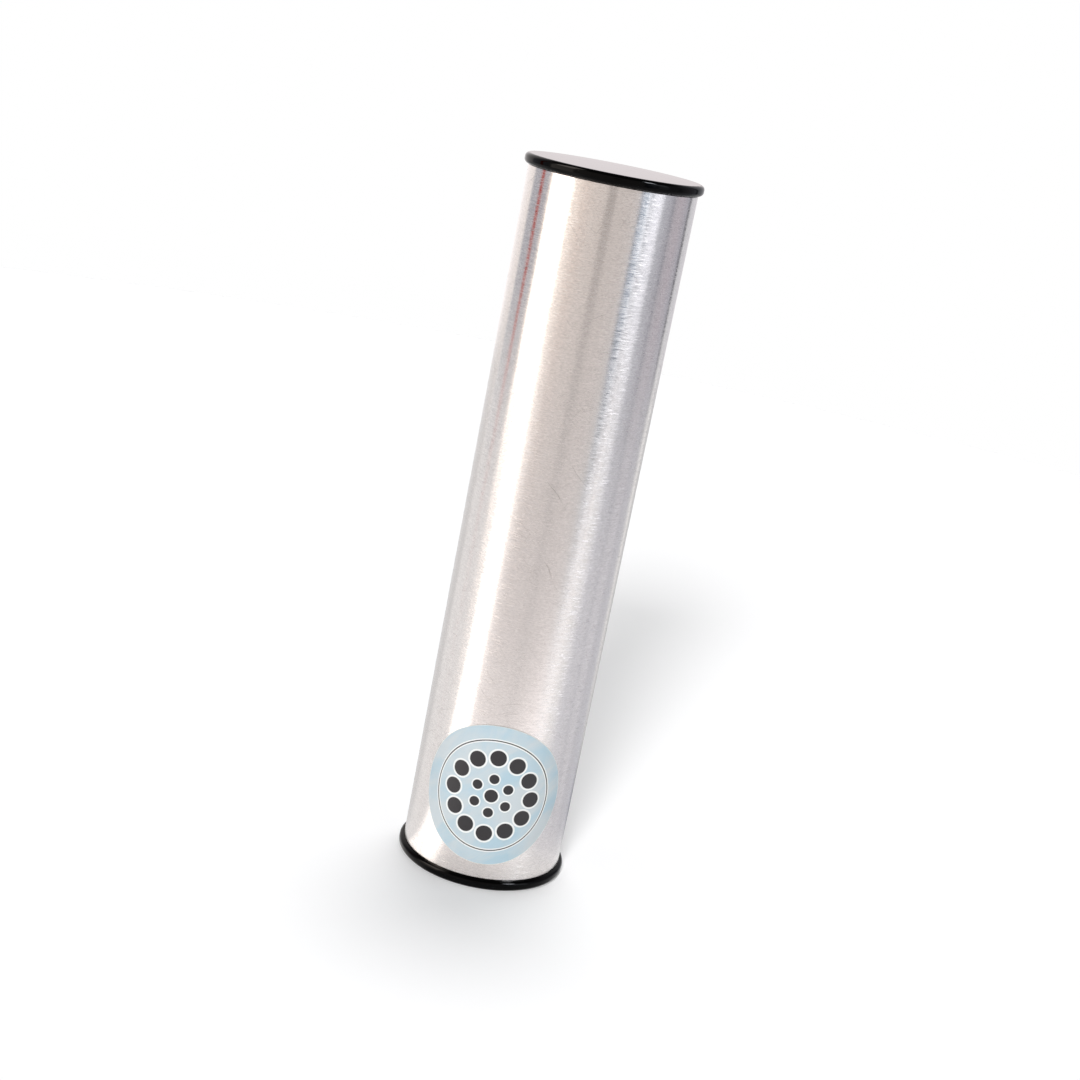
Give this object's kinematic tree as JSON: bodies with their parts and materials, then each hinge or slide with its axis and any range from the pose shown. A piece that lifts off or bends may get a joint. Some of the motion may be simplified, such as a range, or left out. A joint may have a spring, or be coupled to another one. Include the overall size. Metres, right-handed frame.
{
  "type": "ganza shaker",
  "caption": "Tube shaker with a brushed metal body, gloss black push-in end caps, a round sticker near the base and a loose charge of shot that rattles from end to end.",
  "frame": {"origin": "centre of the face that the shaker stands on, the bottom cap's outer face", "axes": "+Z along the tube from the bottom cap to the top cap, -Y towards the middle of the sticker"},
  "size_m": [0.0536, 0.0536, 0.2224],
  "materials": {
    "tube_aluminium": "drawn aluminium tube, fine brushed grain running round the tube, light handling scratches",
    "cap_plastic": "moulded black plastic, polished",
    "sticker_paper": "coated paper, pale blue cloudy print with a plain charcoal bead ring",
    "shot_steel": "plain round 4.5 mm steel shot, dull"
  },
  "bodies": {
    "shell": {"tube": "tube_aluminium", "bottom_cap": "cap_plastic", "top_cap": "cap_plastic", "sticker": "sticker_paper"},
    "core_shot": {"shot_core": "shot_steel"},
    "middle_shot": {"shot_middle_ring": "shot_steel"},
    "outer_shot": {"shot_outer_ring": "shot_steel"}
  },
  "joints": [
    {"name": "shot_travel", "type": "slide", "parent": "shell", "child": "core_shot", "axis": [0, 0, 1], "range_m": [0, 0.2087]},
    {"name": "middle_ring_swirl", "type": "hinge", "parent": "core_shot", "child": "middle_shot", "pos_m": [0, 0, 0.0068], "axis": [0, 0, 1], "continuous": true},
    {"name": "outer_ring_swirl", "type": "hinge", "parent": "core_shot", "child": "outer_shot", "pos_m": [0, 0, 0.0068], "axis": [0, 0, 1], "continuous": true}
  ]
}
